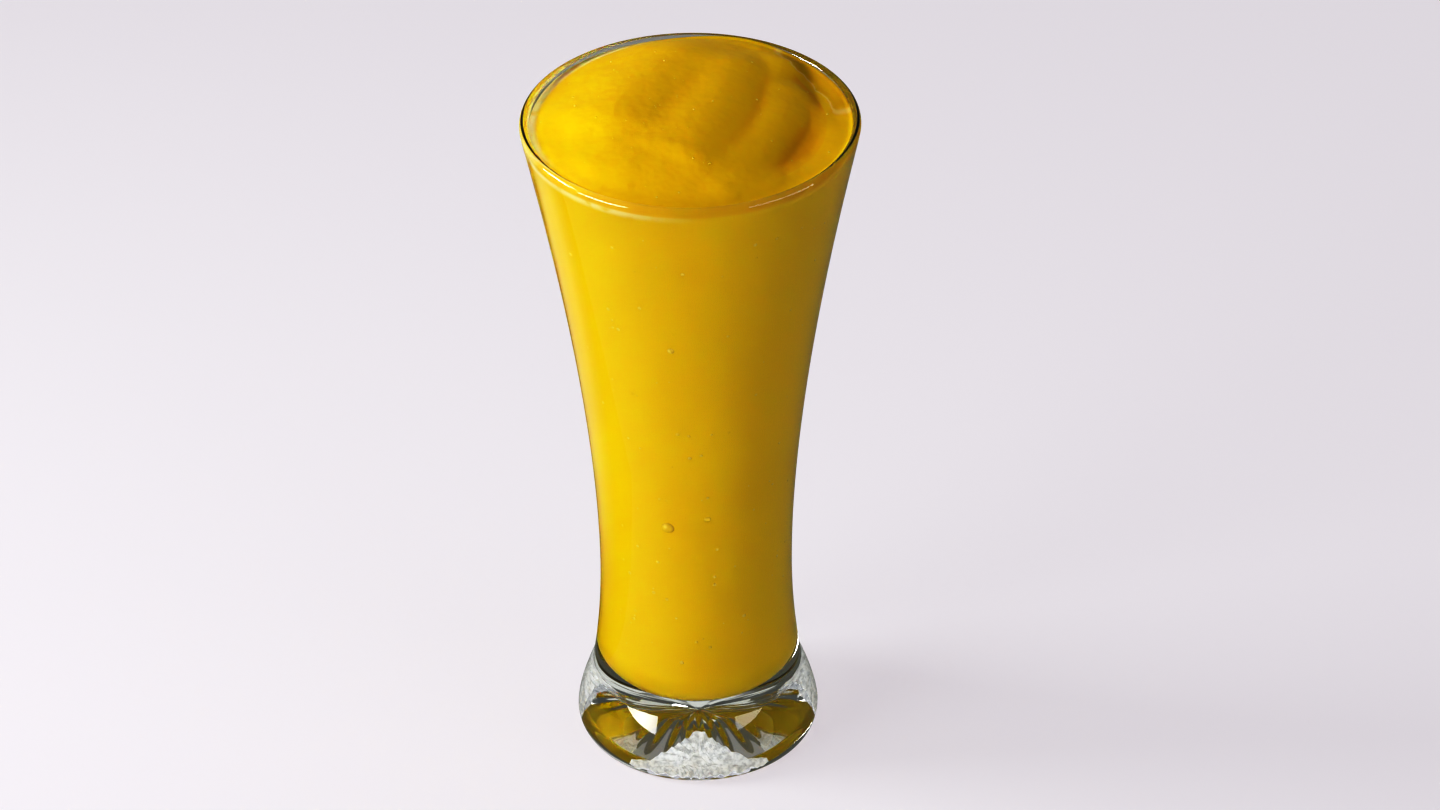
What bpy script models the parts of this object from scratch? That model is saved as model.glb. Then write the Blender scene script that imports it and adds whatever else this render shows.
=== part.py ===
# A tall flared drinking glass on a thick clear foot, filled to the brim with thick mango juice.
#
# The glass is one turned solid: a pleated hollow under the foot, a rounded foot, a tight neck line,
# a slim waist and a wide flare up to a rounded rim. The juice is one solid that fills the glass, with
# the poured folds of its thick surface on top. Units are metres, +Z is up, and the origin is at the
# middle of the foot's underside. +X is to the right and +Y away from someone who looks at the front.

import math

import bmesh
import bpy
from mathutils import Vector
from mathutils.geometry import interpolate_bezier

# Driving dimensions of the glass
RIM_HEIGHT = 0.1702
RIM_RADIUS = 0.0390
RIM_THICKNESS = 0.0020
WAIST_HEIGHT = 0.0465
WAIST_RADIUS = 0.02308
WAIST_WALL = 0.0027
FLARE_HANDLE = 0.0547
RIM_HANDLE = 0.0025
RIM_LEAN = 0.018
NECK_HEIGHT = 0.0166
NECK_RADIUS = 0.0254
FOOT_RADIUS = 0.0294
FOOT_WIDEST = 0.0032
FOOT_CURVE = 1.386
FOOT_CORNER = 0.0015
CONTACT_INNER = 0.0215
CAVITY_FLOOR = 0.0168
CAVITY_CORNER = 0.0090
CAVITY_DISH = 0.0006

# The hollow under the foot, pleated like a pressed fan
PUNT_HEIGHT = 0.0062
PUNT_CURVE = 1.7
PLEAT_DEPTH = 0.0007
PLEAT_BIAS = 0.7

# Driving dimensions of the juice
WALL_GAP = 0.0003
WALL_LEVEL = -0.0012
DOME_RISE = 0.0016
EDGE_ROLL = 0.0022
EDGE_ROLL_CURVE = 1.2
SWELL_REACH = 3.0

# Fineness of the mesh. SEGMENTS is even, because each pleat takes two of them.
SEGMENTS = 60
FOOT_CORNER_ANGLES = (0.0, 35.0, 65.0)
RIM_ANGLES = (0.0, 45.0, 90.0, 135.0, 180.0)
FOOT_STEPS = 6
LOW_STEPS = 4
FLARE_STEPS = 11
CORNER_STEPS = 4
PUNT_STEPS = 5
JUICE_SIDE_STEPS = 11
JUICE_TOP_RINGS = 15
JUICE_RING_EASE = 1.15
FINE_STEPS = 200
TINY = 0.0001
WELD_DISTANCE = 0.000001
SMOOTH_ANGLE = 40.0

# How far the juice's edge on the wall stands above or below WALL_LEVEL.
# Each swell: direction round the glass in degrees, half-width in degrees, height in metres.
EDGE_SWELLS = (
    (70.0, 20.0, 0.0011),
    (158.0, 16.0, -0.0006),
)

# A low pocket between the last fold and the wall, at the right of the back. Its two spans are its
# half-widths in degrees, clockwise and anticlockwise of its middle, and POCKET_STEP is the distance
# from the wall over which it falls to its full depth.
POCKET_RADIUS = 0.0315
POCKET_REACH = 0.0060
POCKET_ANGLE = 34.0
POCKET_SPANS = (24.0, 7.0)
POCKET_DEPTH = 0.0017
POCKET_STEP = 0.0020

# Crest lines of the poured folds, as (x, y) points from the back of the glass to its front
CREST_LEFT = ((-0.0030, 0.0230), (-0.0085, 0.0125), (-0.0135, 0.0030), (-0.0160, -0.0020))
CREST_MIDDLE = (
    (0.0085, 0.0190),
    (0.0072, 0.0125),
    (0.0050, 0.0028),
    (0.0014, -0.0075),
    (-0.0020, -0.0160),
)
CREST_RIGHT = (
    (0.0178, 0.0230),
    (0.0180, 0.0100),
    (0.0170, -0.0005),
    (0.0133, -0.0110),
    (0.0088, -0.0205),
    (0.0055, -0.0255),
)
CREST_FRONT = ((-0.0130, -0.0040), (-0.0130, -0.0180))
CREST_CORNER = ((0.0212, 0.0240), (0.0225, 0.0130))
CREST_BACK = ((0.0160, 0.0315), (0.0040, 0.0350), (-0.0060, 0.0340))

# The folds lie over each other like shingles, stepping down to the right. Each has a long soft slope
# on its left and a shorter one on its right that ends in a crease. Each fold: crest line, height,
# width of the left slope, width of the right slope, and how fast it fades past its ends.
FOLDS = (
    (CREST_LEFT, 0.0040, 0.0160, 0.0170, 0.0130),
    (CREST_MIDDLE, 0.0036, 0.0210, 0.0125, 0.0095),
    (CREST_RIGHT, 0.0013, 0.0240, 0.0100, 0.0085),
    (CREST_FRONT, 0.0030, 0.0180, 0.0340, 0.0120),
    (CREST_CORNER, 0.0016, 0.0110, 0.0065, 0.0060),
    (CREST_BACK, 0.0010, 0.0050, 0.0035, 0.0085),
)
FOLD_BLEND = 7.0


def remove_scene_objects():
    for obj in list(bpy.data.objects):
        bpy.data.objects.remove(obj)


def flare_curve(steps):
    """Outer line of the glass from the waist up to the rim, as (radius, height) pairs."""
    start = Vector((WAIST_RADIUS, WAIST_HEIGHT, 0.0))
    start_handle = Vector((WAIST_RADIUS, WAIST_HEIGHT + FLARE_HANDLE, 0.0))
    end_handle = Vector((RIM_RADIUS - RIM_LEAN * RIM_HANDLE, RIM_HEIGHT - RIM_HANDLE, 0.0))
    end = Vector((RIM_RADIUS, RIM_HEIGHT, 0.0))
    points = interpolate_bezier(start, start_handle, end_handle, end, steps + 1)
    return [(point.x, point.y) for point in points]


FINE_FLARE = flare_curve(FINE_STEPS)


def outer_radius(height):
    """Radius of the glass's outer face above the neck."""
    if height <= WAIST_HEIGHT:
        below = (WAIST_HEIGHT - height) / (WAIST_HEIGHT - NECK_HEIGHT)
        return WAIST_RADIUS + (NECK_RADIUS - WAIST_RADIUS) * below ** 2
    for lower, upper in zip(FINE_FLARE, FINE_FLARE[1:]):
        if height <= upper[1]:
            share = (height - lower[1]) / (upper[1] - lower[1])
            return lower[0] + (upper[0] - lower[0]) * share
    return RIM_RADIUS


def inner_radius(height):
    """Radius of the glass's inner face: the wall thins from the waist up to the rim."""
    share = min(max((height - WAIST_HEIGHT) / (RIM_HEIGHT - WAIST_HEIGHT), 0.0), 1.0)
    return outer_radius(height) - WAIST_WALL + (WAIST_WALL - RIM_THICKNESS) * share


def foot_radius(height):
    """Radius of the foot: bell-shaped above its widest line, with a small round edge below it."""
    if height >= FOOT_WIDEST:
        share = (height - FOOT_WIDEST) / (NECK_HEIGHT - FOOT_WIDEST)
        return FOOT_RADIUS - (FOOT_RADIUS - NECK_RADIUS) * share ** FOOT_CURVE
    drop = (FOOT_WIDEST - height) / FOOT_WIDEST
    return FOOT_RADIUS - FOOT_CORNER * (1.0 - math.sqrt(1.0 - drop ** 2))


def punt_profile():
    """The hollow under the foot, from its middle out to the flat ring that the glass stands on."""
    points = []
    for step in range(PUNT_STEPS):
        share = step / PUNT_STEPS
        points.append((CONTACT_INNER * share, PUNT_HEIGHT * (1.0 - share ** PUNT_CURVE)))
    return points


def foot_profile():
    """The foot's outer face from the flat ring up to just below the neck."""
    heights = [FOOT_WIDEST * (1.0 - math.cos(math.radians(angle))) for angle in FOOT_CORNER_ANGLES]
    rise = NECK_HEIGHT - FOOT_WIDEST
    heights += [FOOT_WIDEST + rise * step / FOOT_STEPS for step in range(FOOT_STEPS)]
    return [(CONTACT_INNER, 0.0)] + [(foot_radius(height), height) for height in heights]


def body_profile():
    """The outer face from the neck up to the start of the rounded rim."""
    rise = WAIST_HEIGHT - NECK_HEIGHT
    low = [NECK_HEIGHT + rise * step / LOW_STEPS for step in range(LOW_STEPS)]
    points = [(outer_radius(height), height) for height in low]
    rim_start = RIM_HEIGHT - RIM_THICKNESS
    return points + [point for point in flare_curve(FLARE_STEPS) if point[1] < rim_start]


def rim_profile():
    """A half round that joins the outer face to the inner one."""
    lip = RIM_THICKNESS / 2.0
    centre_height = RIM_HEIGHT - lip
    centre_radius = (outer_radius(centre_height) + inner_radius(centre_height)) / 2.0
    points = []
    for angle in RIM_ANGLES:
        turn = math.radians(angle)
        points.append((centre_radius + lip * math.cos(turn), centre_height + lip * math.sin(turn)))
    return points


def cavity_profile(gap, top, steps):
    """The inside from a given height down to the middle of its rounded floor, drawn in by gap."""
    corner_top = CAVITY_FLOOR + CAVITY_CORNER
    heights = [top - (top - corner_top) * step / steps for step in range(1, steps)]
    points = [(inner_radius(height) - gap, height) for height in heights]
    side = inner_radius(corner_top)
    flat = side - CAVITY_CORNER
    for step in range(CORNER_STEPS + 1):
        turn = math.radians(90.0 * step / CORNER_STEPS)
        radius = flat + (CAVITY_CORNER - gap) * math.cos(turn)
        height = corner_top - (CAVITY_CORNER - gap) * math.sin(turn)
        points.append((radius, height))
    points.append((flat / 2.0, CAVITY_FLOOR + gap - CAVITY_DISH * 0.75))
    points.append((0.0, CAVITY_FLOOR + gap - CAVITY_DISH))
    return points


def edge_swell(angle):
    """How far the juice's edge on the wall stands above its mean level, in a direction round it."""
    swell = 0.0
    for middle, half_width, height in EDGE_SWELLS:
        away = (math.degrees(angle) - middle + 180.0) % 360.0 - 180.0
        swell += height * math.exp(-(away / half_width) ** 2)
    return swell


def nearest_on_crest(crest, x, y):
    """Distance from a crest line to (x, y), positive on its right, and the distance past its ends."""
    best = None
    for (ax, ay), (bx, by) in zip(crest, crest[1:]):
        run = Vector((bx - ax, by - ay))
        offset = Vector((x - ax, y - ay))
        share = offset.dot(run) / run.length_squared
        held = min(max(share, 0.0), 1.0)
        miss = offset - run * held
        side = -1.0 if run.cross(offset) < 0.0 else 1.0
        across = abs(run.cross(offset)) / run.length * side
        past = 0.0 if held == share else abs(share - held) * run.length
        if best is None or miss.length < best[0]:
            best = (miss.length, across, past)
    return best[1], best[2]


def fold_height(fold, x, y):
    """Height of one fold at (x, y): soft on its left, and rounded down to a crease on its right."""
    crest, height, left_width, right_width, end_fade = fold
    across, past = nearest_on_crest(crest, x, y)
    if across > 0.0:
        section = max(1.0 - (across / right_width) ** 2, 0.0)
    else:
        section = math.exp(-(across / left_width) ** 2)
    return height * section * math.exp(-(past / end_fade) ** 2)


def pocket_depth(x, y, edge_radius):
    """Depth of the low pocket between the last fold and the wall."""
    radius = math.hypot(x, y)
    away = (math.degrees(math.atan2(y, x)) - POCKET_ANGLE + 180.0) % 360.0 - 180.0
    span = POCKET_SPANS[1] if away > 0.0 else POCKET_SPANS[0]
    depth = math.exp(-(away / span) ** 2 - ((radius - POCKET_RADIUS) / POCKET_REACH) ** 2)
    inward = max(edge_radius - radius, 0.0)
    return POCKET_DEPTH * depth * (1.0 - math.exp(-(inward / POCKET_STEP) ** 2))


def juice_surface(x, y, edge_radius):
    """Height of the juice's top face at (x, y): a dome with folds, drawn down to its edge."""
    share = math.hypot(x, y) / edge_radius
    inward = max(1.0 - share, 0.0)
    freedom = 1.0 - math.exp(-(inward * edge_radius / EDGE_ROLL) ** EDGE_ROLL_CURVE)
    dome = DOME_RISE * (1.0 - share ** 2)
    folds = sum(fold_height(fold, x, y) ** FOLD_BLEND for fold in FOLDS) ** (1.0 / FOLD_BLEND)
    swell = edge_swell(math.atan2(y, x)) * share ** SWELL_REACH
    height = RIM_HEIGHT + WALL_LEVEL + swell + (dome + folds) * freedom
    return height - pocket_depth(x, y, edge_radius)


def turned_mesh(profile):
    """Spin a profile of (radius, height) pairs round the Z axis into a closed mesh."""
    mesh = bmesh.new()
    verts = [mesh.verts.new((radius, 0.0, height)) for radius, height in profile]
    edges = [mesh.edges.new(pair) for pair in zip(verts, verts[1:])]
    bmesh.ops.spin(
        mesh,
        geom=verts + edges,
        cent=(0.0, 0.0, 0.0),
        axis=(0.0, 0.0, 1.0),
        angle=math.tau,
        steps=SEGMENTS,
        use_merge=True,
    )
    bmesh.ops.remove_doubles(mesh, verts=mesh.verts, dist=WELD_DISTANCE)
    bmesh.ops.recalc_face_normals(mesh, faces=mesh.faces)
    mesh.verts.ensure_lookup_table()
    return mesh


def finish_object(name, mesh, material):
    """Turn a bmesh into a smooth-shaded object with one material."""
    bmesh.ops.triangulate(mesh, faces=mesh.faces)
    data = bpy.data.meshes.new(name)
    mesh.to_mesh(data)
    mesh.free()
    data.shade_smooth()
    data.set_sharp_from_angle(angle=math.radians(SMOOTH_ANGLE))
    data.materials.append(material)
    obj = bpy.data.objects.new(name, data)
    bpy.context.scene.collection.objects.link(obj)
    return obj


def pleat(mesh):
    """Fold the hollow under the foot into pleats that run out from its middle."""
    for vert in mesh.verts:
        radius = math.hypot(vert.co.x, vert.co.y)
        inside = TINY < radius < CONTACT_INNER - TINY and vert.co.z < PUNT_HEIGHT + TINY
        if not inside:
            continue
        spoke = round(math.atan2(vert.co.y, vert.co.x) / math.tau * SEGMENTS)
        side = 1.0 if spoke % 2 else -1.0
        share = radius / CONTACT_INNER
        vert.co.z += side * PLEAT_DEPTH / 2.0 * math.sin(math.pi * share ** PLEAT_BIAS)


def shape_juice_top(mesh, top):
    """Lift the flat top of the juice to its real surface, and its edge to the line on the wall."""
    for vert in mesh.verts:
        if vert.co.z < top - TINY:
            continue
        radius = math.hypot(vert.co.x, vert.co.y)
        angle = math.atan2(vert.co.y, vert.co.x)
        edge_radius = inner_radius(top) - WALL_GAP
        if radius > edge_radius - TINY:
            vert.co.z = top + edge_swell(angle)
            reach = (inner_radius(vert.co.z) - WALL_GAP) / radius
            vert.co.x *= reach
            vert.co.y *= reach
        else:
            vert.co.z = juice_surface(vert.co.x, vert.co.y, edge_radius)


def make_glass():
    profile = punt_profile() + foot_profile() + body_profile() + rim_profile()
    profile += cavity_profile(0.0, RIM_HEIGHT - RIM_THICKNESS / 2.0, FLARE_STEPS + 1)
    mesh = turned_mesh(profile)
    pleat(mesh)
    return finish_object("glass", mesh, glass_material())


def make_juice():
    top = RIM_HEIGHT + WALL_LEVEL
    edge_radius = inner_radius(top) - WALL_GAP
    shares = [1.0 - (step / JUICE_TOP_RINGS) ** JUICE_RING_EASE for step in range(JUICE_TOP_RINGS)]
    profile = [(0.0, top)] + [(edge_radius * share, top) for share in reversed(shares)]
    profile += cavity_profile(WALL_GAP, top, JUICE_SIDE_STEPS)
    mesh = turned_mesh(profile)
    shape_juice_top(mesh, top)
    return finish_object("juice", mesh, juice_material())


def principled(name):
    material = bpy.data.materials.new(name)
    material.use_nodes = True
    return material, material.node_tree.nodes["Principled BSDF"].inputs


def glass_material():
    material, inputs = principled("clear_glass")
    inputs["Base Color"].default_value = (0.86, 0.93, 0.90, 1.0)
    inputs["Roughness"].default_value = 0.02
    inputs["Metallic"].default_value = 0.0
    inputs["IOR"].default_value = 1.5
    inputs["Transmission Weight"].default_value = 1.0
    return material


def juice_material():
    material, inputs = principled("mango_juice")
    inputs["Base Color"].default_value = (0.87, 0.50, 0.003, 1.0)
    inputs["Roughness"].default_value = 0.32
    inputs["Metallic"].default_value = 0.0
    return material


def main():
    remove_scene_objects()
    make_glass()
    make_juice()


main()
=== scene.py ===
# Looks of a tall flared glass of thick mango juice: a fine glass with pressed relief in its foot, fine
# juice with its poured folds, small bubbles, a pale floor, soft light and a camera at the
# photograph's angle. Units are metres, and the named angles are in degrees.
import math
import random

import bmesh
import bpy
from mathutils import Matrix, Vector, noise
from mathutils.geometry import interpolate_bezier


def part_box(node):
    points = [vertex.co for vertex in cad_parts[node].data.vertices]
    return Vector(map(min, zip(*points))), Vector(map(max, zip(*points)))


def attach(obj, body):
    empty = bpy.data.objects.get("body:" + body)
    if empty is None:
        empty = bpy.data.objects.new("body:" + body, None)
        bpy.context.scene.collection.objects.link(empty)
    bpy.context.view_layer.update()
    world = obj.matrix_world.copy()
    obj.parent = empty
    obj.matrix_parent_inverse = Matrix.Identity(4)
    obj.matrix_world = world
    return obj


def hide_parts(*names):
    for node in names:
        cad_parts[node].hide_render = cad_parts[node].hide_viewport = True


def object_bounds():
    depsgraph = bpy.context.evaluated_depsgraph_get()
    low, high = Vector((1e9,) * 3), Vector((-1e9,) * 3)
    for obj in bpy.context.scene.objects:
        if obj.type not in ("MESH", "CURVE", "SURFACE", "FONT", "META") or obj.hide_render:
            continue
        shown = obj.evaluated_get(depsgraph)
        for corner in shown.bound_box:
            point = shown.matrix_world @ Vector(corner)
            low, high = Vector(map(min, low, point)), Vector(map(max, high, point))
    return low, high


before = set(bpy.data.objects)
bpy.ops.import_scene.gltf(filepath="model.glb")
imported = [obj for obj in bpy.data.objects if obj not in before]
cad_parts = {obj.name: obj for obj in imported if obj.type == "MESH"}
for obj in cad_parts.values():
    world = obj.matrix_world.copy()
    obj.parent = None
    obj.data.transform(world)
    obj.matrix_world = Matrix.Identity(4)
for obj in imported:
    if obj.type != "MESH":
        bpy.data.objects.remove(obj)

CAD_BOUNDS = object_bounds()

# The glass, with the sizes that its CAD solid has
RIM_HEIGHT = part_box("glass")[1].z
RIM_RADIUS = 0.0390
RIM_THICKNESS = 0.0020
WAIST_HEIGHT = 0.0465
WAIST_RADIUS = 0.02308
WAIST_WALL = 0.0027
FLARE_HANDLE = 0.0547
RIM_HANDLE = 0.0025
RIM_LEAN = 0.018
NECK_HEIGHT = 0.0166
NECK_RADIUS = 0.0254
FOOT_RADIUS = 0.0294
FOOT_WIDEST = 0.0032
FOOT_CURVE = 1.386
FOOT_CORNER = 0.0015
CONTACT_INNER = 0.0215
CAVITY_FLOOR = 0.0168
CAVITY_CORNER = 0.0090
CAVITY_DISH = 0.0006

# The hollow under the foot. Its pleats are strongest where a fan of relief lies.
PUNT_HEIGHT = 0.0062
PUNT_CURVE = 1.7
PLEATS = 30
PLEAT_DEPTH = 0.0007
PLEAT_BIAS = 0.7

# The silvery pressed fans low in the foot, just above the hollow. The inner edge of a fan runs from
# FAN_PEAK off the axis, in its middle, out to FAN_CORNER at its two sides. Its ribs run out from a
# point at FAN_CENTRE.
# The fans glow by themselves: painted light standing for the reflections of the pressed relief
FANS = 3
FAN_HALF_ANGLE = 37.0
FAN_PEAK = 0.0120
FAN_CORNER = 0.0250
FAN_OUTER = 0.0268
FAN_SLOPE = 1.2
FAN_LIFT = 0.0008
FAN_THICKNESS = 0.00015
FAN_CENTRE = 0.0205
FAN_RIBS = 22
FAN_RIB_DEPTH = 0.0004
FAN_RIB_START = 0.004
FAN_GRAIN = 0.8
FAN_GRAIN_SCALE = 1100.0
FAN_RAGGED = 0.0004
FAN_RAGGED_SCALE = 9.0

# The juice. WALL_REACH is how far it reaches into the glass's wall, so that no air gap shows.
WALL_REACH = 0.0002
WALL_LEVEL = -0.0013
DOME_RISE = 0.0016
EDGE_ROLL = 0.0022
EDGE_ROLL_CURVE = 1.2
SWELL_REACH = 3.0
MENISCUS_RISE = 0.0004
MENISCUS_WIDTH = 0.0006

# How far the juice's edge on the wall stands above or below WALL_LEVEL.
# Each swell: direction round the glass, half-width in degrees, height.
EDGE_SWELLS = (
    (70.0, 20.0, 0.0011),
    (158.0, 16.0, -0.0006),
    (192.0, 26.0, -0.0010),
)

# Low pockets between the last fold and the wall. Each pocket: distance from the axis, half-width
# along it, direction round the glass, half-widths in degrees clockwise and anticlockwise, depth.
# POCKET_STEP is the distance from the wall over which they fall to their full depth.
POCKETS = (
    (0.0315, 0.0060, 34.0, 24.0, 7.0, 0.0017),
    (0.0275, 0.0055, -20.0, 30.0, 24.0, 0.0013),
)
POCKET_STEP = 0.0020

# Crest lines of the poured folds, as (x, y) points from the back of the glass to its front
CREST_LEFT = ((-0.0030, 0.0230), (-0.0085, 0.0125), (-0.0135, 0.0030), (-0.0160, -0.0020))
CREST_MIDDLE = (
    (0.0085, 0.0190),
    (0.0072, 0.0125),
    (0.0050, 0.0028),
    (0.0014, -0.0075),
    (-0.0020, -0.0160),
)
CREST_RIGHT = (
    (0.0178, 0.0230),
    (0.0180, 0.0100),
    (0.0170, -0.0005),
    (0.0133, -0.0110),
    (0.0088, -0.0205),
    (0.0055, -0.0255),
)
CREST_FRONT = ((-0.0130, -0.0040), (-0.0130, -0.0180))
CREST_CORNER = ((0.0212, 0.0240), (0.0225, 0.0130))
CREST_BACK = ((0.0160, 0.0315), (0.0040, 0.0350), (-0.0060, 0.0340))

# The folds lie over each other like shingles, stepping down to the right. Each has a long soft slope
# on its left and a shorter one on its right that ends in a crease. Each fold: crest line, height,
# width of the left slope, width of the right slope, and how fast it fades past its ends.
FOLDS = (
    (CREST_LEFT, 0.0040, 0.0160, 0.0170, 0.0130),
    (CREST_MIDDLE, 0.0036, 0.0210, 0.0125, 0.0095),
    (CREST_RIGHT, 0.0013, 0.0240, 0.0100, 0.0085),
    (CREST_FRONT, 0.0030, 0.0180, 0.0340, 0.0120),
    (CREST_CORNER, 0.0016, 0.0110, 0.0065, 0.0060),
    (CREST_BACK, 0.0010, 0.0050, 0.0035, 0.0085),
)
FOLD_BLEND = 7.0

# The hollows between the folds are found against the mean height of a ring of this radius, and are
# painted in shade
HOLLOW_REACH = 0.0060
HOLLOW_DIRECTIONS = 8

# Bubbles. Each large one on the side: direction round the glass, height, radius.
LARGE_BUBBLES = (
    (-106.8, 0.0712, 0.00150),
    (-82.9, 0.0742, 0.00080),
    (-99.9, 0.1265, 0.00080),
)
SIDE_BUBBLES = 260
SIDE_SIZES = (0.00020, 0.00050)
SIDE_LOWEST = 0.030
SIDE_SPREAD = 0.130
SIDE_CROWDING = 1.3
SIDE_FLATNESS = 0.6
TOP_BUBBLES = 70
TOP_SIZES = (0.00012, 0.00030)
TOP_REACH = 0.94
TOP_FLATNESS = 0.35
BUBBLE_SEED = 5

# Fineness of the meshes. A point down to TOP_BAND below the juice's edge counts as its top, and
# slopes are measured over LEAN_STEP on the side and SLOPE_STEP on the top.
SEGMENTS = 180
PUNT_STEPS = 28
FOOT_CORNER_STEPS = 12
FOOT_STEPS = 24
LOW_STEPS = 18
FLARE_STEPS = 48
FINE_STEPS = 400
RIM_STEPS = 12
CORNER_STEPS = 12
CAVITY_STEPS = 56
CAVITY_FLOOR_SHARES = (0.75, 0.5, 0.25, 0.0)
JUICE_SIDE_STEPS = 48
JUICE_TOP_RINGS = 72
JUICE_RING_EASE = 1.35
FAN_COLUMNS = 56
FAN_ROWS = 26
BUBBLE_SPOKES = 12
BUBBLE_RING_ANGLES = (-60.0, -25.0, 0.0, 25.0, 50.0, 72.0)
SHARP_ANGLE = 50.0
TOP_BAND = 0.004
LEAN_STEP = 0.001
SLOPE_STEP = 0.0003
TINY = 0.0001

# Colours of the juice. The open top is painted a deeper orange than the side, as painted shade.
SIDE_COLOUR = (0.945, 0.637, 0.0003, 1.0)
TOP_COLOUR = (0.94, 0.560, 0.001, 1.0)
# Painted shade in the hollows of the top, mixed with the juice's own soft clouds of deeper tone
CLOUD_AND_HOLLOW_SHADE_COLOUR = (0.92, 0.455, 0.0006, 1.0)
# Painted shade on the top by the wall at the right of the back
PATCH_SHADE_COLOUR = (0.66, 0.37, 0.001, 1.0)
# Pale froth, painted paler on the lit left as a painted highlight
FROTH_AND_HIGHLIGHT_COLOUR = (1.0, 0.80, 0.33, 1.0)
BUBBLE_COLOUR = (1.0, 0.76, 0.12, 1.0)

# Materials, by the names of their shader's inputs
GLASS_LOOK = {
    "Base Color": (0.96, 0.97, 0.95, 1.0),
    "Roughness": 0.0,
    "IOR": 1.5,
    "Transmission Weight": 1.0,
}
GLASS_TINT = (0.735, 0.75, 0.735, 1.0)
GLASS_TINT_DENSITY = 22.0
# The relief glows by itself with painted light
RELIEF_LOOK = {
    "Base Color": (0.60, 0.62, 0.66, 1.0),
    "Roughness": 0.25,
    "Emission Strength": 0.46,
}
RELIEF_GLOW_DARK = (0.33, 0.34, 0.37, 1.0)
RELIEF_GLOW_BRIGHT = (1.0, 1.0, 1.0, 1.0)
JUICE_LOOK = {
    "Roughness": 0.42,
    "Specular IOR Level": 0.12,
    "Subsurface Weight": 0.35,
    "Subsurface Radius": (1.0, 0.45, 0.04),
    "Subsurface Scale": 0.0022,
}
BUBBLE_LOOK = {
    "Roughness": 0.25,
    "Specular IOR Level": 0.5,
}
FLOOR_LOOK = {
    "Base Color": (0.33, 0.31, 0.34, 1.0),
    "Roughness": 0.8,
    "Specular IOR Level": 0.0,
    "Emission Color": (0.95, 0.90, 0.96, 1.0),
    "Emission Strength": 0.61,
}
CARD_LOOK = {
    "Base Color": (0.0, 0.0, 0.0, 1.0),
    "Specular IOR Level": 0.0,
    "Emission Color": (1.0, 1.0, 1.0, 1.0),
}

# Noises of the materials, each with its scale and its detail
RELIEF_NOISE = (900.0, 3.0)
FROTH_AND_HIGHLIGHT_NOISE = (260.0, 3.0)
PATCH_SHADE_NOISE = (160.0, 2.0)
CLOUD_NOISE = (55.0, 4.0)
CLOUD_STRETCH = (1.0, 1.0, 0.5)
LUMP_NOISE = (170.0, 2.5)
BUBBLE_NOISE = (150.0, 2.0)

# Masks of the materials, each with the value where it is 0 and the value where it is 1. Froth is
# the pale line on the top along the wall at the left, band is the pale line on the side below the
# rim, both froth painted paler as a painted highlight on the lit left, and the patch shade is
# painted shade on the top at the right of the back.
FACING_UP = (0.05, 0.3)
FACING_OUT = (1.0, 0.0)
RELIEF_GRAIN = (0.34, 0.62)
FROTH_AND_HIGHLIGHT_RADIUS = (0.0346, 0.0358)
FROTH_AND_HIGHLIGHT_X = (-0.004, -0.018)
FROTH_AND_HIGHLIGHT_Y = (-0.020, -0.008)
FROTH_AND_HIGHLIGHT_PATCHES = (0.2, 0.5)
BAND_HEIGHT = (RIM_HEIGHT - 0.0048, RIM_HEIGHT - 0.0034)
BAND_X = (0.004, -0.020)
PATCH_SHADE_RADIUS = (0.0326, 0.0340)
PATCH_SHADE_X = (0.018, 0.024)
PATCH_SHADE_Y = (0.001, 0.009)
PATCH_SHADE_EDGE_START = (0.1, 0.35)
PATCH_SHADE_EDGE_END = (0.75, 0.45)
CLOUDS = (0.35, 0.75)
# The hollowness over which the painted shade in the hollows grows
HOLLOW_SHADE = (-0.0001, 0.0008)
PALE_BUBBLES = (0.3, 0.6)

# How far the edge of the painted shade patch waves, how strong its pale edge and the clouds are, and
# how strong and how high the small lumps on the juice's top are
PATCH_SHADE_WAVE = 0.004
PATCH_SHADE_EDGE_STRENGTH = 0.35
CLOUD_STRENGTH = 0.1
LUMP_STRENGTH = 0.5
LUMP_HEIGHT = 0.0008

# The stage. Each card: name, place, size, turn, brightness, the share of its radius over which it
# fades, and the one kind of ray that sees it. Each light: name, place, aim, size, power.
FLOOR_SIZE = 8.0
CARDS = (
    ("depth_card", (0.0, 0.0, -0.0005), (0.56, 0.56), 0.0, 0.33, 0.05, "transmission"),
    ("sheen_card", (-0.125, 0.108, 0.0005), (0.24, 0.17), 135.0, 0.55, 0.7, "glossy"),
)
LIGHTS = (
    ("key", (-0.46, 0.04, 0.385), (0.0, 0.0, 0.15), (0.20, 0.20), 3.05),
    ("side", (-0.46, -0.31, 0.11), (0.0, 0.0, 0.10), (0.34, 0.24), 0.71),
    ("fill", (0.90, -0.55, 0.20), (0.0, 0.0, 0.10), (0.9, 0.4), 7.3),
    ("back", (0.45, 0.85, 0.12), (0.0, 0.0, 0.10), (1.6, 0.5), 2.0),
)
SIDE_LIGHT_SPREAD = 60.0

# The soft light from all round, from straight below at 0 to straight above at 1
SKY = (
    (0.0, (0.17, 0.175, 0.16, 1.0)),
    (0.62, (0.16, 0.165, 0.15, 1.0)),
    (0.85, (0.13, 0.135, 0.13, 1.0)),
    (1.0, (0.26, 0.26, 0.26, 1.0)),
)

# The contrast curve of the picture, from scene brightness to shown brightness
CONTRAST = ((0.0, 0.0), (0.1, 0.036), (0.25, 0.14), (0.5, 0.41), (0.75, 0.71), (1.0, 0.905))
COMBINED_CURVE = 3

# The camera
CAMERA_PLACE = Vector((0.0, -0.9574, 0.7576))
CAMERA_AIM = Vector((0.00613, 0.0, 0.0909))
CAMERA_ROLL = -0.577
CAMERA_LENS = 123.6
CAMERA_SENSOR = 36.0
CAMERA_NEAR = 0.05


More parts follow.
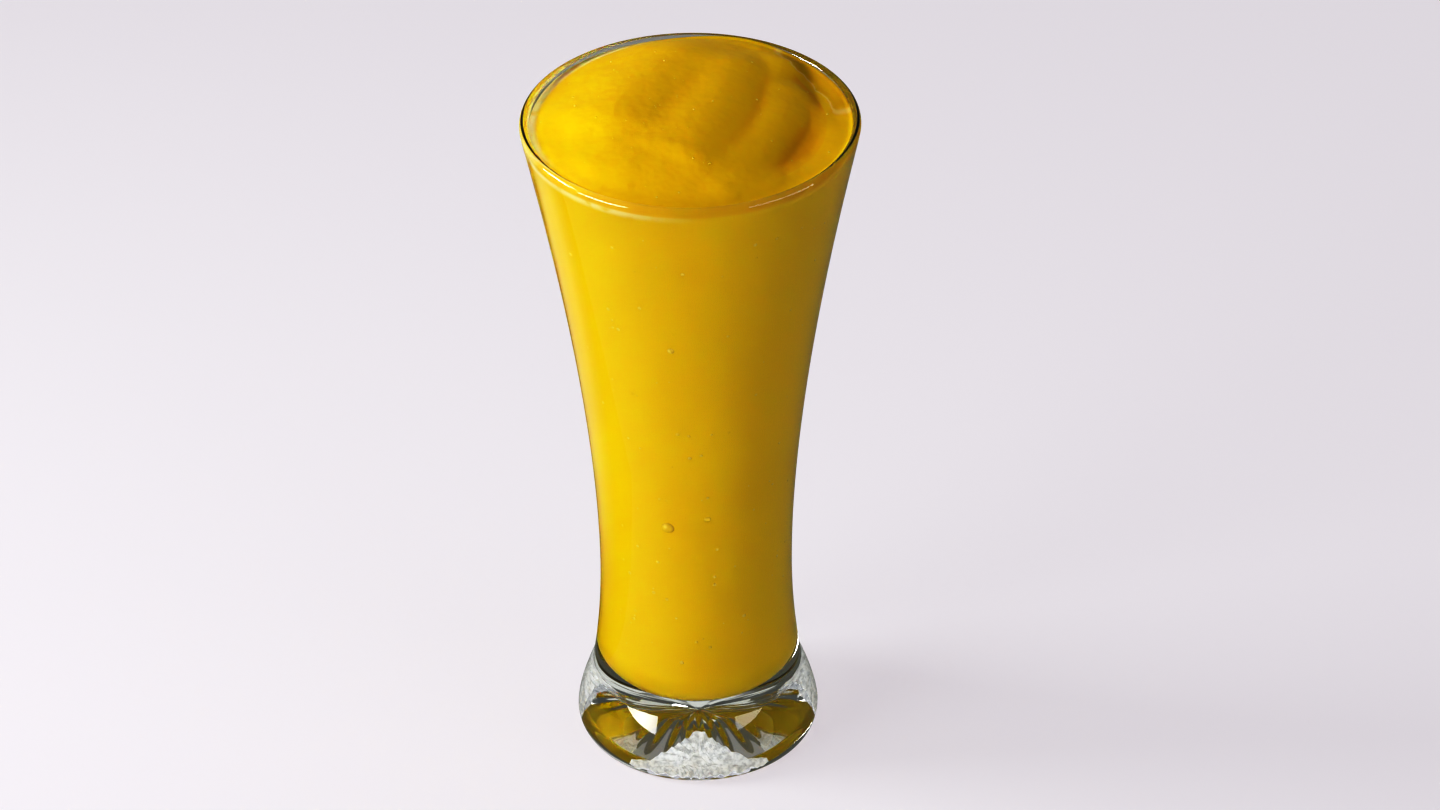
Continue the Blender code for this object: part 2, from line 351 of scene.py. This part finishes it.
def flare_curve(steps):
    """Outer line of the glass from the waist up to the rim, as (radius, height) pairs."""
    start = Vector((WAIST_RADIUS, WAIST_HEIGHT, 0.0))
    start_handle = Vector((WAIST_RADIUS, WAIST_HEIGHT + FLARE_HANDLE, 0.0))
    end_handle = Vector((RIM_RADIUS - RIM_LEAN * RIM_HANDLE, RIM_HEIGHT - RIM_HANDLE, 0.0))
    end = Vector((RIM_RADIUS, RIM_HEIGHT, 0.0))
    points = interpolate_bezier(start, start_handle, end_handle, end, steps + 1)
    return [(point.x, point.y) for point in points]


FINE_FLARE = flare_curve(FINE_STEPS)


def outer_radius(height):
    """Radius of the glass's outer face above the neck."""
    if height <= WAIST_HEIGHT:
        below = (WAIST_HEIGHT - height) / (WAIST_HEIGHT - NECK_HEIGHT)
        return WAIST_RADIUS + (NECK_RADIUS - WAIST_RADIUS) * below ** 2
    for lower, upper in zip(FINE_FLARE, FINE_FLARE[1:]):
        if height <= upper[1]:
            share = (height - lower[1]) / (upper[1] - lower[1])
            return lower[0] + (upper[0] - lower[0]) * share
    return RIM_RADIUS


def inner_radius(height):
    """Radius of the glass's inner face: the wall thins from the waist up to the rim."""
    share = min(max((height - WAIST_HEIGHT) / (RIM_HEIGHT - WAIST_HEIGHT), 0.0), 1.0)
    return outer_radius(height) - WAIST_WALL + (WAIST_WALL - RIM_THICKNESS) * share


def foot_radius(height):
    """Radius of the foot: bell-shaped above its widest line, with a small round edge below it."""
    if height >= FOOT_WIDEST:
        share = (height - FOOT_WIDEST) / (NECK_HEIGHT - FOOT_WIDEST)
        return FOOT_RADIUS - (FOOT_RADIUS - NECK_RADIUS) * share ** FOOT_CURVE
    drop = (FOOT_WIDEST - height) / FOOT_WIDEST
    return FOOT_RADIUS - FOOT_CORNER * (1.0 - math.sqrt(1.0 - drop ** 2))


def spread(start, end, steps):
    """Even values from start up to, and without, end."""
    return [start + (end - start) * step / steps for step in range(steps)]


def arc(degrees, steps):
    """Even turns from 0 up to, and with, an angle in degrees, in radians."""
    return [math.radians(degrees * step / steps) for step in range(steps + 1)]


def punt_profile():
    """The hollow under the foot, from its middle out to the flat ring that the glass stands on."""
    shares = spread(0.0, 1.0, PUNT_STEPS)
    return [(CONTACT_INNER * share, PUNT_HEIGHT * (1.0 - share ** PUNT_CURVE)) for share in shares]


def foot_profile():
    """The flat ring and the foot's outer face up to just below the neck."""
    points = [(CONTACT_INNER, 0.0), ((CONTACT_INNER + FOOT_RADIUS - FOOT_CORNER) / 2.0, 0.0)]
    corner = [FOOT_WIDEST * (1.0 - math.cos(turn)) for turn in arc(90.0, FOOT_CORNER_STEPS)[:-1]]
    heights = corner + spread(FOOT_WIDEST, NECK_HEIGHT, FOOT_STEPS)
    return points + [(foot_radius(height), height) for height in heights]


def body_profile():
    """The outer face from the neck up to the start of the rounded rim."""
    low = [(outer_radius(height), height) for height in spread(NECK_HEIGHT, WAIST_HEIGHT, LOW_STEPS)]
    rim_start = RIM_HEIGHT - RIM_THICKNESS
    return low + [point for point in flare_curve(FLARE_STEPS) if point[1] < rim_start]


def rim_profile():
    """A half round that joins the outer face to the inner one."""
    lip = RIM_THICKNESS / 2.0
    centre_height = RIM_HEIGHT - lip
    centre_radius = (outer_radius(centre_height) + inner_radius(centre_height)) / 2.0
    points = []
    for turn in arc(180.0, RIM_STEPS):
        points.append((centre_radius + lip * math.cos(turn), centre_height + lip * math.sin(turn)))
    return points


def cavity_profile(gap, top, steps):
    """The inside from a given height down to the middle of its rounded floor, drawn in by gap."""
    corner_top = CAVITY_FLOOR + CAVITY_CORNER
    heights = [top - (top - corner_top) * step / steps for step in range(1, steps)]
    points = [(inner_radius(height) - gap, height) for height in heights]
    flat = inner_radius(corner_top) - CAVITY_CORNER
    for turn in arc(90.0, CORNER_STEPS):
        radius = flat + (CAVITY_CORNER - gap) * math.cos(turn)
        height = corner_top - (CAVITY_CORNER - gap) * math.sin(turn)
        points.append((radius, height))
    for share in CAVITY_FLOOR_SHARES:
        points.append((flat * share, CAVITY_FLOOR + gap - CAVITY_DISH * (1.0 - share ** 2)))
    return points


def degrees_past(angle, direction):
    """Turn in degrees, from -180 to 180, from a direction in degrees to an angle in radians."""
    return (math.degrees(angle) - direction + 180.0) % 360.0 - 180.0


def edge_swell(angle):
    """How far the juice's edge on the wall stands above its mean level, in a direction round it."""
    swell = 0.0
    for direction, half_width, height in EDGE_SWELLS:
        swell += height * math.exp(-(degrees_past(angle, direction) / half_width) ** 2)
    return swell


def nearest_on_crest(crest, x, y):
    """Distance from a crest line to (x, y), positive on its right, and the distance past its ends."""
    found = []
    for (ax, ay), (bx, by) in zip(crest, crest[1:]):
        run = Vector((bx - ax, by - ay))
        offset = Vector((x - ax, y - ay))
        share = offset.dot(run) / run.length_squared
        held = min(max(share, 0.0), 1.0)
        miss = (offset - run * held).length
        across = run.cross(offset) / run.length
        past = abs(share - held) * run.length
        found.append((miss, across, past))
    nearest = min(found, key=lambda item: item[0])
    return nearest[1], nearest[2]


def fold_height(fold, x, y):
    """Height of one fold at (x, y): soft on its left, and rounded down to a crease on its right."""
    crest, height, left_width, right_width, end_fade = fold
    across, past = nearest_on_crest(crest, x, y)
    if across > 0.0:
        section = max(1.0 - (across / right_width) ** 2, 0.0)
    else:
        section = math.exp(-(across / left_width) ** 2)
    return height * section * math.exp(-(past / end_fade) ** 2)


def pocket_depth(x, y, edge_radius):
    """Depth of the low pockets between the last fold and the wall."""
    radius = math.hypot(x, y)
    total = 0.0
    for distance, reach, direction, clockwise, anticlockwise, depth in POCKETS:
        away = degrees_past(math.atan2(y, x), direction)
        span = anticlockwise if away > 0.0 else clockwise
        total += depth * math.exp(-(away / span) ** 2 - ((radius - distance) / reach) ** 2)
    inward = max(edge_radius - radius, 0.0)
    return total * (1.0 - math.exp(-(inward / POCKET_STEP) ** 2))


def juice_surface(x, y, edge_radius):
    """Height of the juice's top face at (x, y): a dome with folds, drawn down to its edge."""
    share = math.hypot(x, y) / edge_radius
    inward = max(1.0 - share, 0.0) * edge_radius
    freedom = 1.0 - math.exp(-(inward / EDGE_ROLL) ** EDGE_ROLL_CURVE)
    dome = DOME_RISE * (1.0 - share ** 2)
    folds = sum(fold_height(fold, x, y) ** FOLD_BLEND for fold in FOLDS) ** (1.0 / FOLD_BLEND)
    swell = edge_swell(math.atan2(y, x)) * share ** SWELL_REACH
    meniscus = MENISCUS_RISE * math.exp(-(inward / MENISCUS_WIDTH) ** 2)
    height = RIM_HEIGHT + WALL_LEVEL + swell + meniscus + (dome + folds) * freedom
    return height - pocket_depth(x, y, edge_radius)


def hollowness(x, y, edge_radius):
    """How far the juice's top lies below what is round it at (x, y)."""
    ring = 0.0
    for turn in arc(360.0, HOLLOW_DIRECTIONS)[:-1]:
        out_x = x + HOLLOW_REACH * math.cos(turn)
        out_y = y + HOLLOW_REACH * math.sin(turn)
        ring += juice_surface(out_x, out_y, edge_radius) / HOLLOW_DIRECTIONS
    return ring - juice_surface(x, y, edge_radius)


def new_object(name, verts, faces):
    """A mesh object in the scene."""
    data = bpy.data.meshes.new(name)
    data.from_pydata(verts, [], faces)
    obj = bpy.data.objects.new(name, data)
    bpy.context.scene.collection.objects.link(obj)
    return obj


def close_mesh(data, thickness=0.0):
    """Give an open sheet a thickness, where one is given, and turn a mesh's faces outward."""
    mesh = bmesh.new()
    mesh.from_mesh(data)
    if thickness:
        sheet = mesh.verts[:] + mesh.edges[:] + mesh.faces[:]
        bmesh.ops.solidify(mesh, geom=sheet, thickness=thickness)
    bmesh.ops.recalc_face_normals(mesh, faces=mesh.faces)
    mesh.to_mesh(data)
    mesh.free()


def turned_object(name, profile, shape):
    """A closed turned mesh from a profile that starts and ends on the axis, with its points shaped."""
    verts = [(0.0, 0.0, profile[0][1])]
    for radius, height in profile[1:-1]:
        for spoke in range(SEGMENTS):
            turn = math.tau * spoke / SEGMENTS
            verts.append((radius * math.cos(turn), radius * math.sin(turn), height))
    verts.append((0.0, 0.0, profile[-1][1]))
    rings = len(profile) - 2
    first_ring = 1
    last_ring = first_ring + (rings - 1) * SEGMENTS
    last = len(verts) - 1
    faces = []
    for spoke in range(SEGMENTS):
        after = (spoke + 1) % SEGMENTS
        faces.append((0, first_ring + after, first_ring + spoke))
        for low in range(first_ring, last_ring, SEGMENTS):
            high = low + SEGMENTS
            faces.append((low + spoke, low + after, high + after, high + spoke))
        faces.append((last_ring + spoke, last_ring + after, last))
    obj = new_object(name, [shape(vert) for vert in verts], faces)
    close_mesh(obj.data)
    obj.data.shade_smooth()
    return obj


def zigzag(angle, waves):
    """A wave of straight ramps between -1 and 1, with a number of waves in a full turn."""
    return abs((angle / math.tau * waves) % 1.0 - 0.5) * 4.0 - 1.0


def pleated(vert):
    """Fold the hollow under the foot into pleats that run out from its middle."""
    x, y, z = vert
    radius = math.hypot(x, y)
    if radius >= CONTACT_INNER or z > PUNT_HEIGHT + TINY:
        return vert
    angle = math.atan2(y, x)
    strength = 0.5 + 0.5 * math.cos(FANS * (angle + math.pi / 2.0))
    share = radius / CONTACT_INNER
    bend = PLEAT_DEPTH / 2.0 * math.sin(math.pi * share ** PLEAT_BIAS)
    return (x, y, z + zigzag(angle, PLEATS) * strength * bend)


def fan_height(across, outward):
    """Height of a fan's face, from its distances across the fan and outward from the axis."""
    radius = math.hypot(across, outward)
    hollow = PUNT_HEIGHT * (1.0 - min(radius / CONTACT_INNER, 1.0) ** PUNT_CURVE)
    out = outward - FAN_CENTRE
    reach = min(math.hypot(across, out) / FAN_RIB_START, 1.0)
    ribs = reach * zigzag(math.atan2(out, across), FAN_RIBS)
    grain = FAN_GRAIN * noise.noise(Vector((across, outward, 0.0)) * FAN_GRAIN_SCALE)
    return hollow + FAN_LIFT + FAN_RIB_DEPTH * (1.0 + ribs + grain)


def fan_points(fan):
    """The points of one fan, column by column, turned to its own direction round the axis."""
    turn = Matrix.Rotation(math.tau * fan / FANS, 3, "Z")
    points = []
    for column in range(FAN_COLUMNS + 1):
        side = 2.0 * column / FAN_COLUMNS - 1.0
        angle = math.radians(FAN_HALF_ANGLE * side)
        ragged = FAN_RAGGED * noise.noise(Vector((side * FAN_RAGGED_SCALE, fan, 0.0)))
        inner = FAN_PEAK + (FAN_CORNER - FAN_PEAK) * abs(side) ** FAN_SLOPE + ragged
        for row in range(FAN_ROWS + 1):
            radius = inner + (FAN_OUTER - inner) * row / FAN_ROWS
            across = radius * math.sin(angle)
            outward = radius * math.cos(angle)
            points.append(turn @ Vector((across, -outward, fan_height(across, outward))))
    return points


def make_fans():
    """Thin fans that stand for the pressed relief seen through the foot, with a painted silvery glow
    for its reflections.
    """
    verts = []
    faces = []
    for fan in range(FANS):
        start = len(verts)
        verts += fan_points(fan)
        for column in range(FAN_COLUMNS):
            for row in range(FAN_ROWS):
                low = start + column * (FAN_ROWS + 1) + row
                high = low + FAN_ROWS + 1
                faces.append((low, low + 1, high + 1, high))
    relief = new_object("foot_relief", verts, faces)
    close_mesh(relief.data, FAN_THICKNESS)
    relief.data.materials.append(relief_material())
    return relief


def make_glass():
    profile = punt_profile() + foot_profile() + body_profile() + rim_profile()
    profile += cavity_profile(0.0, RIM_HEIGHT - RIM_THICKNESS / 2.0, CAVITY_STEPS)
    glass = turned_object("glass_clear", profile, pleated)
    glass.data.set_sharp_from_angle(angle=math.radians(SHARP_ANGLE))
    glass.data.materials.append(glass_material())
    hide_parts("glass")
    return glass


def make_juice():
    top = RIM_HEIGHT + WALL_LEVEL
    edge_radius = inner_radius(top) + WALL_REACH
    shares = [1.0 - (step / JUICE_TOP_RINGS) ** JUICE_RING_EASE for step in range(JUICE_TOP_RINGS)]
    profile = [(0.0, top)] + [(edge_radius * share, top) for share in reversed(shares)]
    profile += cavity_profile(-WALL_REACH, top, JUICE_SIDE_STEPS)

    def lifted(vert):
        """Lift the flat top to its real surface, and its edge to the line on the wall."""
        x, y, z = vert
        if z < top - TINY:
            return vert
        radius = math.hypot(x, y)
        if radius > edge_radius - TINY:
            z = top + edge_swell(math.atan2(y, x)) + MENISCUS_RISE
            reach = (inner_radius(z) + WALL_REACH) / radius
            return (x * reach, y * reach, z)
        return (x, y, juice_surface(x, y, edge_radius))

    juice = turned_object("juice_body", profile, lifted)
    # The hollowness of each point of the top, kept for the painted shade in the hollows
    shade = juice.data.attributes.new("hollow", "FLOAT", "POINT")
    for vert, value in zip(juice.data.vertices, shade.data):
        radius = math.hypot(vert.co.x, vert.co.y)
        if vert.co.z > top - TOP_BAND and radius < edge_radius - HOLLOW_REACH:
            value.value = hollowness(vert.co.x, vert.co.y, edge_radius)
    juice.data.materials.append(juice_material())
    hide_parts("juice")
    return juice


def add_dome(verts, faces, place, normal, radius, flatness):
    """A low closed dome on a surface."""
    tilt = normal.to_track_quat("Z", "Y").to_matrix()
    start = len(verts)
    height = radius * flatness
    for angle in BUBBLE_RING_ANGLES:
        turn = math.radians(angle)
        flat = radius * math.cos(turn)
        for spoke in range(BUBBLE_SPOKES):
            way = math.tau * spoke / BUBBLE_SPOKES
            point = Vector((flat * math.cos(way), flat * math.sin(way), height * math.sin(turn)))
            verts.append(place + tilt @ point)
    last = len(verts) - BUBBLE_SPOKES
    verts.append(place + tilt @ Vector((0.0, 0.0, -height)))
    verts.append(place + tilt @ Vector((0.0, 0.0, height)))
    low, high = len(verts) - 2, len(verts) - 1
    for spoke in range(BUBBLE_SPOKES):
        after = (spoke + 1) % BUBBLE_SPOKES
        faces.append((low, start + after, start + spoke))
        faces.append((high, last + spoke, last + after))
        for base in range(start, last, BUBBLE_SPOKES):
            above = base + BUBBLE_SPOKES
            faces.append((base + spoke, base + after, above + after, above + spoke))


def wall_point(angle, height):
    """A point on the juice's side and the way the side faces there."""
    radius = inner_radius(height) + WALL_REACH
    lean = (inner_radius(height + LEAN_STEP) - inner_radius(height - LEAN_STEP)) / (2.0 * LEAN_STEP)
    out = Vector((math.cos(angle), math.sin(angle), 0.0))
    normal = (out - Vector((0.0, 0.0, lean))).normalized()
    return out * radius + Vector((0.0, 0.0, height)), normal


def top_point(x, y, edge_radius):
    """A point on the juice's top and the way the top faces there."""
    def slope(step_x, step_y):
        ahead = juice_surface(x + step_x, y + step_y, edge_radius)
        behind = juice_surface(x - step_x, y - step_y, edge_radius)
        return (ahead - behind) / (2.0 * SLOPE_STEP)

    normal = Vector((-slope(SLOPE_STEP, 0.0), -slope(0.0, SLOPE_STEP), 1.0)).normalized()
    return Vector((x, y, juice_surface(x, y, edge_radius))), normal


def drawn_radius(draw, sizes):
    """A bubble's radius between two sizes, more often near the smaller one."""
    smallest, largest = sizes
    return smallest + (largest - smallest) * draw.random() ** 2


def make_bubbles():
    """Small air bubbles pressed against the glass, and froth specks on the open top."""
    draw = random.Random(BUBBLE_SEED)
    verts = []
    faces = []
    for angle, height, radius in LARGE_BUBBLES:
        place, normal = wall_point(math.radians(angle), height)
        add_dome(verts, faces, place, normal, radius, SIDE_FLATNESS)
    for _ in range(SIDE_BUBBLES):
        height = SIDE_LOWEST + SIDE_SPREAD * draw.random() ** SIDE_CROWDING
        place, normal = wall_point(draw.uniform(0.0, math.tau), height)
        add_dome(verts, faces, place, normal, drawn_radius(draw, SIDE_SIZES), SIDE_FLATNESS)
    edge_radius = inner_radius(RIM_HEIGHT + WALL_LEVEL)
    for _ in range(TOP_BUBBLES):
        angle = draw.uniform(0.0, math.tau)
        distance = edge_radius * TOP_REACH * math.sqrt(draw.random())
        place, normal = top_point(distance * math.cos(angle), distance * math.sin(angle), edge_radius)
        radius = drawn_radius(draw, TOP_SIZES)
        if place.z + radius < CAD_BOUNDS[1][2]:
            add_dome(verts, faces, place, normal, radius, TOP_FLATNESS)
    bubbles = new_object("juice_bubbles", verts, faces)
    bubbles.data.shade_smooth()
    bubbles.data.materials.append(bubble_material())
    return bubbles


def new_material(name, look):
    """A material with the given shader inputs, its node tree and its shader."""
    material = bpy.data.materials.new(name)
    material.use_nodes = True
    tree = material.node_tree
    shader = tree.nodes["Principled BSDF"]
    for label, value in look.items():
        shader.inputs[label].default_value = value
    return material, tree, shader


def remap(tree, value, span):
    """A smooth step of a value, from 0 at the span's first number to 1 at its second."""
    node = tree.nodes.new("ShaderNodeMapRange")
    node.interpolation_type = "SMOOTHSTEP"
    node.inputs["From Min"].default_value = span[0]
    node.inputs["From Max"].default_value = span[1]
    tree.links.new(value, node.inputs["Value"])
    return node.outputs["Result"]


def calculate(tree, operation, first, second):
    """A sum, product or the like of two values, each a plain number or a node's output."""
    node = tree.nodes.new("ShaderNodeMath")
    node.operation = operation
    for socket, value in zip(node.inputs, (first, second)):
        if isinstance(value, float):
            socket.default_value = value
        else:
            tree.links.new(value, socket)
    return node.outputs["Value"]


def multiply(tree, first, *others):
    """The product of two or more values."""
    product = first
    for other in others:
        product = calculate(tree, "MULTIPLY", product, other)
    return product


def mix_colours(tree, factor, first, second):
    """The first colour where the factor is 0, and the second where it is 1."""
    node = tree.nodes.new("ShaderNodeMix")
    node.data_type = "RGBA"
    tree.links.new(factor, node.inputs["Factor"])
    for name, value in (("A", first), ("B", second)):
        socket = [item for item in node.inputs if item.name == name and item.type == "RGBA"][0]
        if isinstance(value, tuple):
            socket.default_value = value
        else:
            tree.links.new(value, socket)
    return [item for item in node.outputs if item.type == "RGBA"][0]


def noise_texture(tree, settings, stretch=(1.0, 1.0, 1.0)):
    """A noise that is fixed to the object, from a scale and a detail."""
    place = tree.nodes.new("ShaderNodeTexCoord")
    mapping = tree.nodes.new("ShaderNodeMapping")
    mapping.inputs["Scale"].default_value = stretch
    tree.links.new(place.outputs["Object"], mapping.inputs["Vector"])
    texture = tree.nodes.new("ShaderNodeTexNoise")
    texture.inputs["Scale"].default_value = settings[0]
    texture.inputs["Detail"].default_value = settings[1]
    tree.links.new(mapping.outputs["Vector"], texture.inputs["Vector"])
    return texture.outputs["Fac"]


def glass_material():
    """Clear glass with a faint tint where it is thick."""
    material, tree, _ = new_material("clear_glass", GLASS_LOOK)
    depth = tree.nodes.new("ShaderNodeVolumeAbsorption")
    depth.inputs["Color"].default_value = GLASS_TINT
    depth.inputs["Density"].default_value = GLASS_TINT_DENSITY
    tree.links.new(depth.outputs["Volume"], tree.nodes["Material Output"].inputs["Volume"])
    return material


def relief_material():
    """Silvery grain that glimmers by itself, for light that the foot gathers."""
    material, tree, shader = new_material("relief_painted_glow", RELIEF_LOOK)
    grain = remap(tree, noise_texture(tree, RELIEF_NOISE), RELIEF_GRAIN)
    shades = mix_colours(tree, grain, RELIEF_GLOW_DARK, RELIEF_GLOW_BRIGHT)
    tree.links.new(shades, shader.inputs["Emission Color"])
    return material


def split_vector(tree, vector):
    """The outputs X, Y and Z of a vector."""
    node = tree.nodes.new("ShaderNodeSeparateXYZ")
    tree.links.new(vector, node.inputs["Vector"])
    return node.outputs


def froth_and_highlight_mask(tree, place, radius, facing_up):
    """Where the pale froth lies, painted paler on the lit left as a painted highlight: along the wall
    on the top, and in a band below the rim.
    """
    line = multiply(
        tree,
        remap(tree, radius, FROTH_AND_HIGHLIGHT_RADIUS),
        facing_up,
        remap(tree, place["X"], FROTH_AND_HIGHLIGHT_X),
        remap(tree, place["Y"], FROTH_AND_HIGHLIGHT_Y),
    )
    band = multiply(
        tree,
        remap(tree, place["Z"], BAND_HEIGHT),
        remap(tree, facing_up, FACING_OUT),
        remap(tree, place["X"], BAND_X),
    )
    patches = remap(tree, noise_texture(tree, FROTH_AND_HIGHLIGHT_NOISE), FROTH_AND_HIGHLIGHT_PATCHES)
    return multiply(tree, calculate(tree, "MAXIMUM", line, band), patches)


def patch_shade_mask(tree, place, radius, facing_up):
    """Where the top is painted in shade by the wall at the right of the back, with a wavy inner edge.
    """
    waviness = calculate(tree, "SUBTRACT", noise_texture(tree, PATCH_SHADE_NOISE), 0.5)
    wavy_radius = calculate(tree, "ADD", radius, multiply(tree, waviness, PATCH_SHADE_WAVE))
    return multiply(
        tree,
        remap(tree, wavy_radius, PATCH_SHADE_RADIUS),
        facing_up,
        remap(tree, place["X"], PATCH_SHADE_X),
        remap(tree, place["Y"], PATCH_SHADE_Y),
    )


def cloud_and_hollow_shade_mask(tree, facing_up):
    """Where the yellow is deeper: painted shade in the hollows of the top, and a little in soft clouds
    of random tone.
    """
    hollow = tree.nodes.new("ShaderNodeAttribute")
    hollow.attribute_name = "hollow"
    shade = multiply(tree, remap(tree, hollow.outputs["Fac"], HOLLOW_SHADE), facing_up)
    clouds = remap(tree, noise_texture(tree, CLOUD_NOISE, CLOUD_STRETCH), CLOUDS)
    return calculate(tree, "MAXIMUM", multiply(tree, clouds, CLOUD_STRENGTH), shade)


def juice_material():
    """Golden yellow, with painted shade deeper on the open top, and a pale froth line along the wall
    with a painted highlight on the left.
    """
    material, tree, shader = new_material("mango_juice", JUICE_LOOK)
    geometry = tree.nodes.new("ShaderNodeNewGeometry")
    facing_up = remap(tree, split_vector(tree, geometry.outputs["Normal"])["Z"], FACING_UP)
    place = split_vector(tree, geometry.outputs["Position"])
    squares = [calculate(tree, "POWER", place[axis], 2.0) for axis in "XY"]
    radius = calculate(tree, "SQRT", calculate(tree, "ADD", *squares), 0.0)
    patch_shade = patch_shade_mask(tree, place, radius, facing_up)
    patch_shade_edge = multiply(
        tree,
        remap(tree, patch_shade, PATCH_SHADE_EDGE_START),
        remap(tree, patch_shade, PATCH_SHADE_EDGE_END),
        PATCH_SHADE_EDGE_STRENGTH,
    )
    froth = calculate(tree, "MAXIMUM", froth_and_highlight_mask(tree, place, radius, facing_up), patch_shade_edge)
    # Painted shade: the open top gets a deeper tone than the side
    colour = mix_colours(tree, facing_up, SIDE_COLOUR, TOP_COLOUR)
    # Painted shade in the hollows of the top, and soft clouds of deeper tone
    colour = mix_colours(tree, cloud_and_hollow_shade_mask(tree, facing_up), colour, CLOUD_AND_HOLLOW_SHADE_COLOUR)
    # Painted shade: a darker patch on the top by the wall at the right of the back
    colour = mix_colours(tree, patch_shade, colour, PATCH_SHADE_COLOUR)
    # Froth with a painted highlight, kept to the lit left
    colour = mix_colours(tree, froth, colour, FROTH_AND_HIGHLIGHT_COLOUR)
    tree.links.new(colour, shader.inputs["Base Color"])
    bump = tree.nodes.new("ShaderNodeBump")
    bump.inputs["Distance"].default_value = LUMP_HEIGHT
    tree.links.new(multiply(tree, facing_up, LUMP_STRENGTH), bump.inputs["Strength"])
    tree.links.new(noise_texture(tree, LUMP_NOISE), bump.inputs["Height"])
    tree.links.new(bump.outputs["Normal"], shader.inputs["Normal"])
    return material


def bubble_material():
    """The juice's own skin over a bubble of air, a little paler than the rest."""
    material, tree, shader = new_material("juice_bubbles", BUBBLE_LOOK)
    pale = remap(tree, noise_texture(tree, BUBBLE_NOISE), PALE_BUBBLES)
    tree.links.new(mix_colours(tree, pale, SIDE_COLOUR, BUBBLE_COLOUR), shader.inputs["Base Color"])
    return material


def make_floor():
    bpy.ops.mesh.primitive_plane_add(size=FLOOR_SIZE)
    floor = bpy.context.object
    floor.name = "floor"
    floor.data.materials.append(new_material("floor", FLOOR_LOOK)[0])
    floor.visible_glossy = False
    floor.visible_transmission = False


def make_card(name, place, size, turn, brightness, fade, ray):
    """A card that glows most in its middle, and that only one kind of ray sees."""
    bpy.ops.mesh.primitive_plane_add(size=1.0, location=place)
    card = bpy.context.object
    card.name = name
    card.rotation_euler.z = math.radians(turn)
    card.scale = (size[0], size[1], 1.0)
    material, tree, shader = new_material(name, CARD_LOOK)
    position = tree.nodes.new("ShaderNodeTexCoord")
    mapping = tree.nodes.new("ShaderNodeMapping")
    mapping.inputs["Scale"].default_value = (2.0, 2.0, 2.0)
    spot = tree.nodes.new("ShaderNodeTexGradient")
    spot.gradient_type = "SPHERICAL"
    tree.links.new(position.outputs["Object"], mapping.inputs["Vector"])
    tree.links.new(mapping.outputs["Vector"], spot.inputs["Vector"])
    glow = multiply(tree, remap(tree, spot.outputs["Fac"], (0.0, fade)), brightness)
    tree.links.new(glow, shader.inputs["Emission Strength"])
    card.data.materials.append(material)
    card.visible_camera = False
    card.visible_diffuse = False
    card.visible_shadow = False
    card.visible_glossy = ray == "glossy"
    card.visible_transmission = ray == "transmission"


def area_light(name, place, aim, size, power):
    data = bpy.data.lights.new(name, "AREA")
    data.shape = "RECTANGLE"
    data.size, data.size_y = size
    data.energy = power
    light = bpy.data.objects.new(name, data)
    light.location = place
    light.rotation_euler = (Vector(aim) - Vector(place)).to_track_quat("-Z", "Y").to_euler()
    bpy.context.scene.collection.objects.link(light)
    return light


def make_lights():
    lights = {values[0]: area_light(*values) for values in LIGHTS}
    lights["side"].data.spread = math.radians(SIDE_LIGHT_SPREAD)
    lights["back"].visible_glossy = False


def make_world():
    """Soft light from all round, with a colour for each height."""
    world = bpy.data.worlds.new("studio")
    bpy.context.scene.world = world
    world.use_nodes = True
    tree = world.node_tree
    direction = tree.nodes.new("ShaderNodeTexCoord")
    height = tree.nodes.new("ShaderNodeMapRange")
    height.inputs["From Min"].default_value = -1.0
    height.inputs["From Max"].default_value = 1.0
    ramp = tree.nodes.new("ShaderNodeValToRGB")
    stops = ramp.color_ramp.elements
    stops[0].color = SKY[0][1]
    stops[1].color = SKY[-1][1]
    for position, colour in SKY[1:-1]:
        stops.new(position).color = colour
    tree.links.new(split_vector(tree, direction.outputs["Generated"])["Z"], height.inputs["Value"])
    tree.links.new(height.outputs["Result"], ramp.inputs["Fac"])
    tree.links.new(ramp.outputs["Color"], tree.nodes["Background"].inputs["Color"])


def make_camera():
    data = bpy.data.cameras.new("camera")
    data.sensor_width = CAMERA_SENSOR
    data.lens = CAMERA_LENS
    data.clip_start = CAMERA_NEAR
    camera = bpy.data.objects.new("camera", data)
    bpy.context.scene.collection.objects.link(camera)
    aim = (CAMERA_AIM - CAMERA_PLACE).to_track_quat("-Z", "Y").to_matrix().to_4x4()
    roll = Matrix.Rotation(math.radians(CAMERA_ROLL), 4, "Z")
    camera.matrix_world = Matrix.Translation(CAMERA_PLACE) @ aim @ roll
    bpy.context.scene.camera = camera


def set_contrast(scene):
    """A soft S-shaped contrast curve: deeper shades and a rounded shoulder."""
    scene.view_settings.view_transform = "Standard"
    scene.view_settings.use_curve_mapping = True
    curves = scene.view_settings.curve_mapping
    curves.use_clip = False
    curves.extend = "EXTRAPOLATED"
    combined = curves.curves[COMBINED_CURVE]
    combined.points[0].location = CONTRAST[0]
    combined.points[1].location = CONTRAST[-1]
    for place, value in CONTRAST[1:-1]:
        combined.points.new(place, value)
    curves.update()


def set_light_paths(scene):
    """Denoised light, with no limit on indirect brightness and few diffuse bounces."""
    scene.cycles.use_denoising = True
    scene.cycles.sample_clamp_indirect = 0.0
    scene.cycles.diffuse_bounces = 2


make_camera()
make_floor()
for values in CARDS:
    make_card(*values)
make_world()
pieces = (make_glass(), make_juice(), make_bubbles(), make_fans())
make_lights()
for piece in pieces:
    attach(piece, "root")
set_contrast(bpy.context.scene)
set_light_paths(bpy.context.scene)
